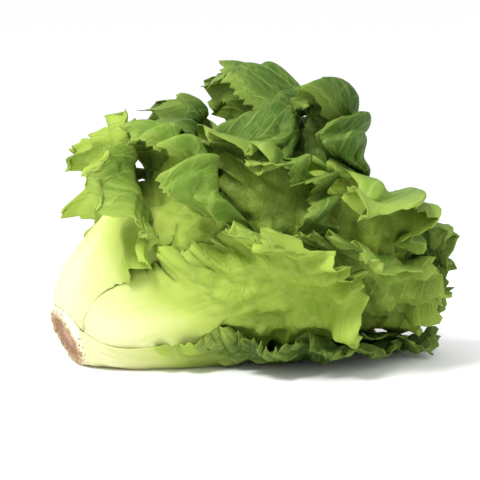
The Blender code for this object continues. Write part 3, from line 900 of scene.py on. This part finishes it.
def stemMesh():
    # an uneven stub, cut a little aslant: its face is dished, and its side runs up to the leaf bases
    draw = np.random.default_rng(7)
    radius, drop = stemLook["radius"], stemLook["drop"]
    dish = 0.0025  # how much deeper the middle of the face lies
    profile = [(-drop + dish, r) for r in np.linspace(0.0, 0.50, 9) * radius]
    profile += [(-drop + dish - dish * t, radius * (0.50 + 0.36 * t)) for t in (0.25, 0.5, 0.75, 1.0)]
    profile += [(-drop + 0.0003, radius * 0.95), (-drop + 0.0012, radius * 1.03)]
    facePoints = len(profile)  # the rest of the profile is the stub's side
    profile += [(-0.002, radius * 1.10), (0.002, radius * 1.14), (0.006, radius * 1.08)]
    profile += [(0.012, radius * 0.95), (0.020, radius * 0.75), (0.030, radius * 0.45), (0.036, 0.0)]
    profile = np.array(profile)
    sides = stemLook["sides"]
    angle = np.linspace(0, 2 * math.pi, sides, endpoint=False)
    height = np.repeat(profile[:, :1], sides, axis=1)
    out = np.repeat(profile[:, 1:], sides, axis=1)
    turn = np.repeat(angle[None, :], len(profile), axis=0)
    onFace = (np.arange(len(profile)) < facePoints)[:, None]
    near = radius - out * np.sin(turn)
    height = height + stemLook["slope"] * near * (1 - smoothstep(-0.004, 0.006, height))
    up, side = out * np.cos(turn), out * np.sin(turn)
    lumps = waves(draw, up, side, stemLook["lumpLength"], 20)
    lumps += 0.5 * waves(draw, height * 2 + up, side, stemLook["grainLength"], 20)
    height = height + stemLook["lump"] * lumps * onFace
    out = out * (1 + stemLook["sideLump"] * lumps * (out > 0.5 * radius))
    x = height * math.cos(tilt) - out * np.cos(turn) * math.sin(tilt)
    z = head["cutHeight"] + height * math.sin(tilt) + out * np.cos(turn) * math.cos(tilt)
    points = np.stack([x, out * np.sin(turn), z], axis=-1)
    points[..., 2] = np.maximum(points[..., 2], head["pressedFlat"])
    rows = len(profile)
    number = np.arange(rows * sides).reshape(rows, sides)
    nextOne = np.roll(number, -1, axis=1)
    quads = np.stack([number[:-1], nextOne[:-1], nextOne[1:], number[1:]], axis=-1).reshape(-1, 4)
    mesh = bpy.data.meshes.new("Stem")
    mesh.from_pydata((points.reshape(-1, 3) + frameShift).tolist(), [], quads.tolist())
    for key, values in (("ring", profile[:, 1:] / radius), ("face", onFace)):
        values = np.repeat(values, sides, axis=1).astype(np.float32)
        mesh.attributes.new(key, "FLOAT", "POINT").data.foreach_set("value", values.ravel())
    mesh.shade_smooth()
    return mesh


# Lay the leaves on the coarse grid first, exactly as the solid head is laid
names = [(ring, i + 1) for ring, count in rings for i in range(count)]
room, laid, leaves = Room(), [], []
for number, (ring, place) in enumerate(names):
    rank = 1 + (head["innermostRank"] - 1) * number / (len(names) - 1)
    halfWidth = form["bladeHalfWidth"] * widths.get(number, 1.0)
    leaf = Leaf(number, rank, leafLengths[number], halfWidth, tipFlares.get(number, 0.0))
    lean, points = layLeaf(leaf, room, laid)
    if number == 0:  # from the head's own coordinates to the frame's
        frameShift = np.array(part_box("outer_leaf_01")[0]) - points.min(axis=0)
    leaves.append((f"{ring}_{place:02d}", leaf, lean))
print("leaves laid", len(leaves), "shift", frameShift.round(5))

usualGreenAndShadeDepth = 0.05
greenAndShadeDepths = {  # how deep a green each leaf is, by its number: partly its own green, partly painted shade where it lies in shadow under other leaves
    0: 1.0, 5: 0.9, 8: 0.4, 9: 0.95, 10: 0.6, 11: 0.5, 13: 0.95, 14: 0.7, 16: 0.0, 17: 0.8,
    18: 0.6, 19: 0.85, 20: 0.7, 21: 0.95,
}
fineRoom = Room()
for node, leaf, lean in leaves:
    name = node.title().replace("_", "")
    sheet = fineLeaf(leaf, lean, fineRoom, detail["rows"], detail["columns"])
    look = leafMaterial(name, greenAndShadeDepths.get(leaf.number, usualGreenAndShadeDepth))
    ring = node.split("_")[0]
    addPiece(name, leafMesh(node, [sheet]), node, look)
print("fine leaves made")

sheets = []
firstRank, lastRank = heart["ranks"]
coarse = {"rows": heart["coarseRows"], "columns": heart["coarseColumns"]}
for place in range(heart["leaves"]):
    rank = firstRank + (lastRank - firstRank) * place / (heart["leaves"] - 1)
    leaf = Leaf(len(names) + place, rank, heart["length"], heart["halfWidth"], **coarse)
    leaf.start = heart["start"]
    lean, _ = layLeaf(leaf, room, laid[: len(names)])
    sheets.append(fineLeaf(leaf, lean, fineRoom, heart["rows"], heart["columns"]))
addPiece("Heart", leafMesh("Heart", sheets), "heart", leafMaterial("HeartLeaf"))
addPiece("Stem", stemMesh(), "stem", stemMaterial())
print("heart and stem made")

# Floor, lights and camera
stage = {
    "floor": (0.95, 0.95, 0.95),
    "floorSize": 30,
    "floorRoughness": 0.9,
    "world": 1.04,
    "azimuth": -17,
    "elevation": 8,
    "distance": 1.5,
    "lens": 153.0,
    "aim": (-0.0089, 0.0025, 0.0883),
    "lights": {  # azimuth, elevation, distance, size and power
        "Key": (-50, 52, 1.6, 0.5, 24),
        "Fill": (30, 20, 2.0, 1.4, 3),
    },
}
bpy.ops.mesh.primitive_plane_add(size=stage["floorSize"])
floor = bpy.context.object
floor.name = "Floor"
floorPaint, _, skin = newMaterial("FloorPaint")
skin.inputs["Base Color"].default_value = (*stage["floor"], 1.0)
skin.inputs["Roughness"].default_value = stage["floorRoughness"]
floor.data.materials.append(floorPaint)

world = bpy.data.worlds.new("Studio")
bpy.context.scene.world = world
world.use_nodes = True
background = world.node_tree.nodes["Background"]
background.inputs["Color"].default_value = (1.0, 1.0, 1.0, 1.0)
background.inputs["Strength"].default_value = stage["world"]


def placeAround(name, data, azimuth, elevation, distance):
    # a light or camera that looks at the head's middle from this side
    a, e = math.radians(azimuth), math.radians(elevation)
    back = Vector((math.sin(a) * math.cos(e), -math.cos(a) * math.cos(e), math.sin(e)))
    made = bpy.data.objects.new(name, data)
    made.location = Vector(stage["aim"]) + back * distance
    made.rotation_euler = back.to_track_quat("Z", "Y").to_euler()
    bpy.context.scene.collection.objects.link(made)
    return made


def softLight(name, azimuth, elevation, distance, size, power):
    data = bpy.data.lights.new(name, "AREA")
    data.shape = "DISK"
    data.size = size
    data.energy = power
    placeAround(name, data, azimuth, elevation, distance)


for name, values in stage["lights"].items():
    softLight(name, *values)

lens = bpy.data.cameras.new("Camera")
lens.lens = stage["lens"]
camera = placeAround("Camera", lens, stage["azimuth"], stage["elevation"], stage["distance"])
bpy.context.scene.camera = camera
bpy.context.scene.view_settings.view_transform = "Standard"
print("stage set")
